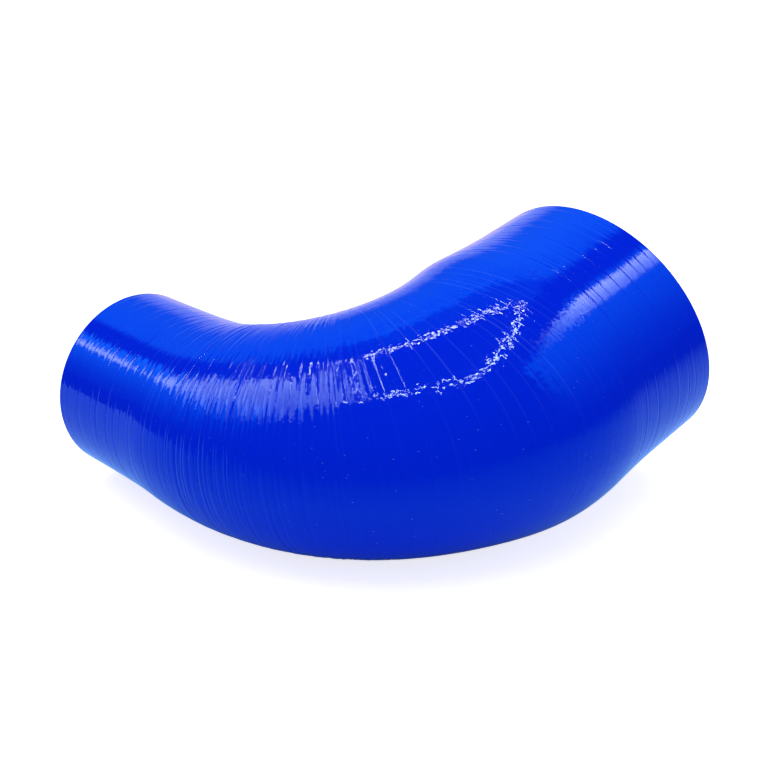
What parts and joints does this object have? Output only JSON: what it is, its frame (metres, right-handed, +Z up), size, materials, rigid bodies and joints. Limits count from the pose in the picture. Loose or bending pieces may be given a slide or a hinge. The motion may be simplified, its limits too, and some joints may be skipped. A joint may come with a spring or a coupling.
{
  "type": "silicone reducer elbow hose",
  "caption": "Moulded silicone elbow hose: a right-angle bend between two straight cuffs, its round bore tapering evenly from the large cuff to the small one.",
  "frame": {"origin": "centre of the bottom of the bounding box of the hose as it lies at rest", "axes": "+Z up; the large cuff points along +X, its end raised about 8 degrees; the small cuff points along +Y, its end lowered about 3 degrees"},
  "size_m": [0.1536, 0.159, 0.0966],
  "materials": {
    "blue_silicone": "glossy saturated blue silicone rubber, wrapped under tape: fine rings round the tube; roughness about 0.3"
  },
  "bodies": {
    "root": {"reducer_elbow_hose": "blue_silicone"}
  },
  "joints": []
}
